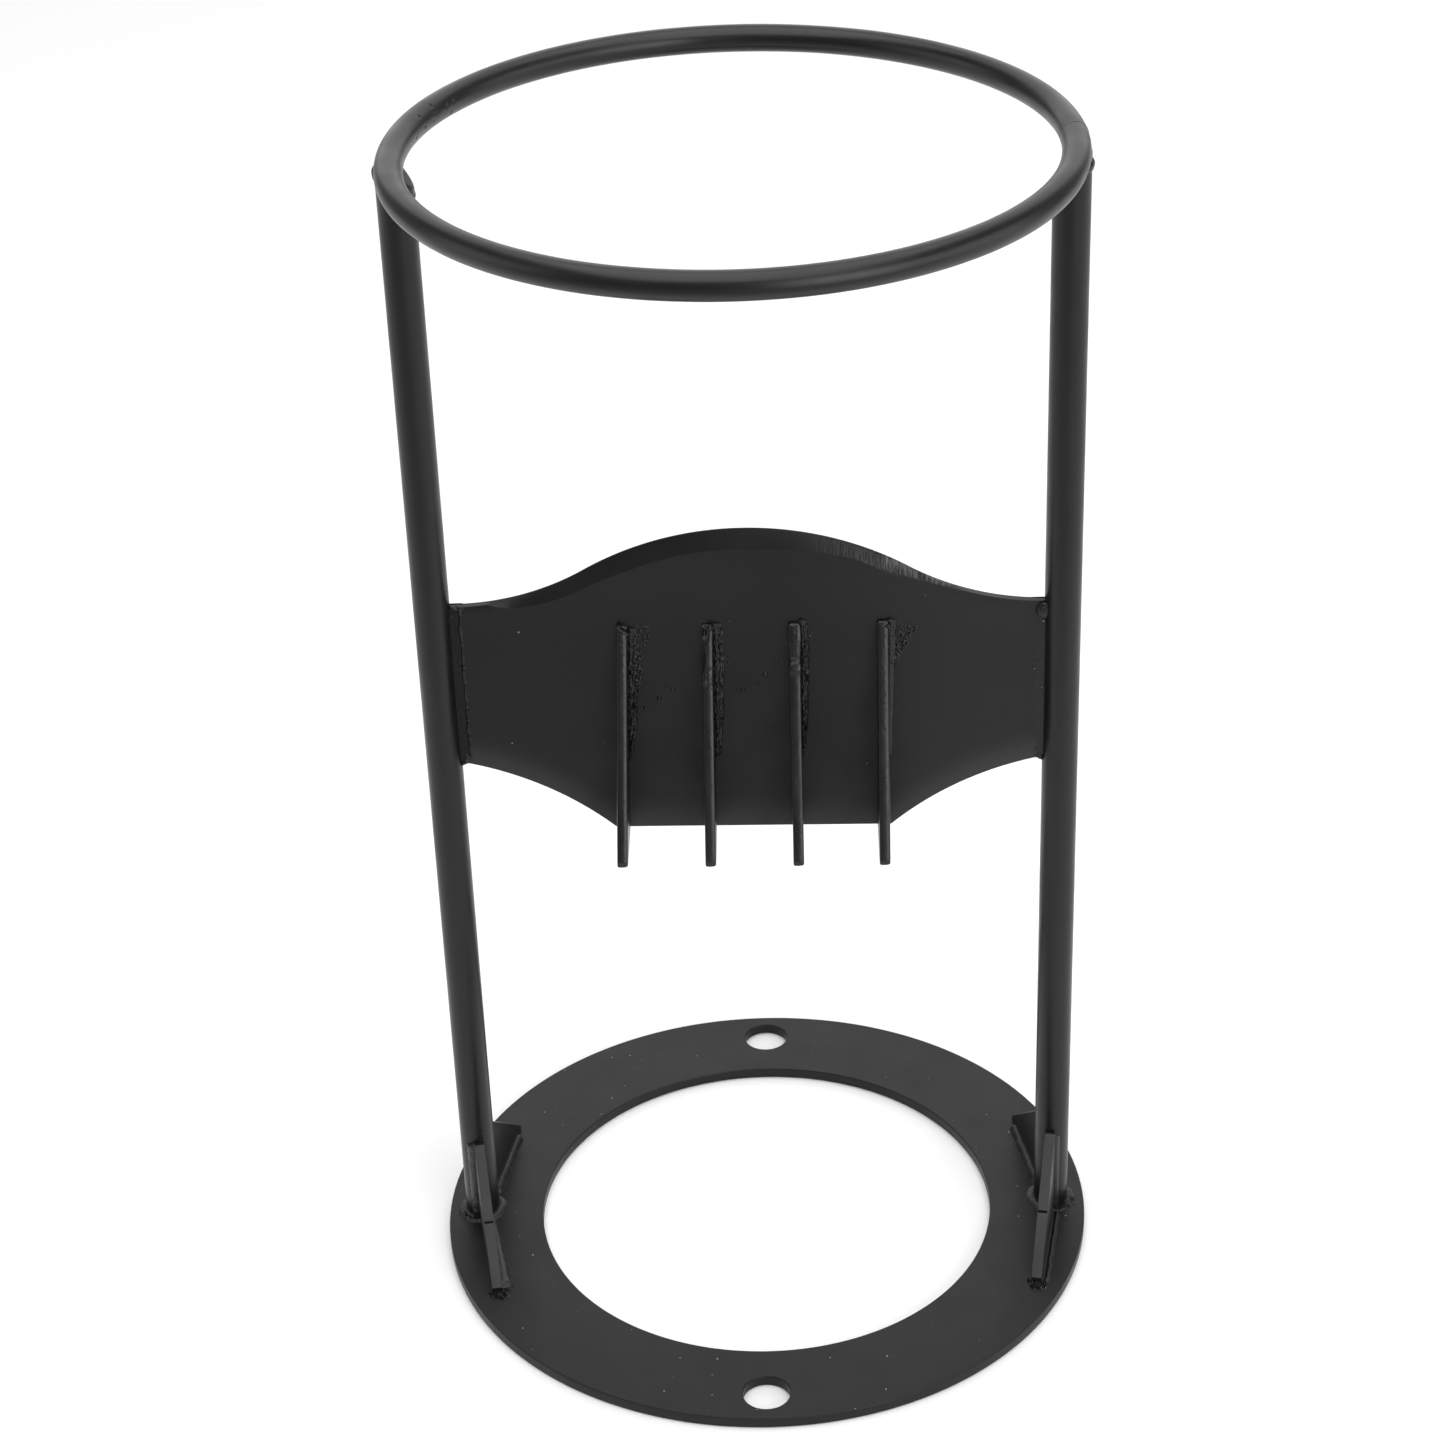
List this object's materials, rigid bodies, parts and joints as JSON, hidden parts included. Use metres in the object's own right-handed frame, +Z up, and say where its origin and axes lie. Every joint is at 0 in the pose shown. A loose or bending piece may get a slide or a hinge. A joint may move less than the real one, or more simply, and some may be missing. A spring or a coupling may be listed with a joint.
{
  "type": "kindling splitter",
  "caption": "Welded steel kindling splitter: flat ring base, two round posts, a crowned blade with spreader fins between them, and a round hoop on top.",
  "frame": {"origin": "centre of the base ring's underside, on the surface that it is bolted to", "axes": "+X from the left post to the right post, -Y towards the side with the fins, +Z up along the posts"},
  "size_m": [0.23, 0.23, 0.4112],
  "materials": {
    "plate_paint": "satin black powder coat on flat plate",
    "fin_paint": "satin black powder coat on plate fins",
    "bar_paint": "satin black powder coat on round bar",
    "blade_paint": "satin black powder coat, thin on the ground edge",
    "weld_paint": "satin black powder coat over rough weld"
  },
  "bodies": {
    "root": {"base_ring": "plate_paint", "gusset_front_left": "plate_paint", "gusset_front_right": "plate_paint", "gusset_rear_left": "plate_paint", "gusset_rear_right": "plate_paint", "fin_outer_left": "fin_paint", "fin_inner_left": "fin_paint", "fin_inner_right": "fin_paint", "fin_outer_right": "fin_paint", "left_post": "bar_paint", "right_post": "bar_paint", "top_hoop": "bar_paint", "splitting_blade": "blade_paint", "weld_foot_left": "weld_paint", "weld_foot_right": "weld_paint", "weld_gusset_front_left": "weld_paint", "weld_gusset_front_right": "weld_paint", "weld_gusset_rear_left": "weld_paint", "weld_gusset_rear_right": "weld_paint", "weld_blade_left": "weld_paint", "weld_blade_right": "weld_paint", "weld_fin_outer_left": "weld_paint", "weld_fin_inner_left": "weld_paint", "weld_fin_inner_right": "weld_paint", "weld_fin_outer_right": "weld_paint", "weld_hoop_left": "weld_paint", "weld_hoop_right": "weld_paint", "weld_hoop_seam": "weld_paint", "weld_spatter": "weld_paint"}
  },
  "joints": []
}
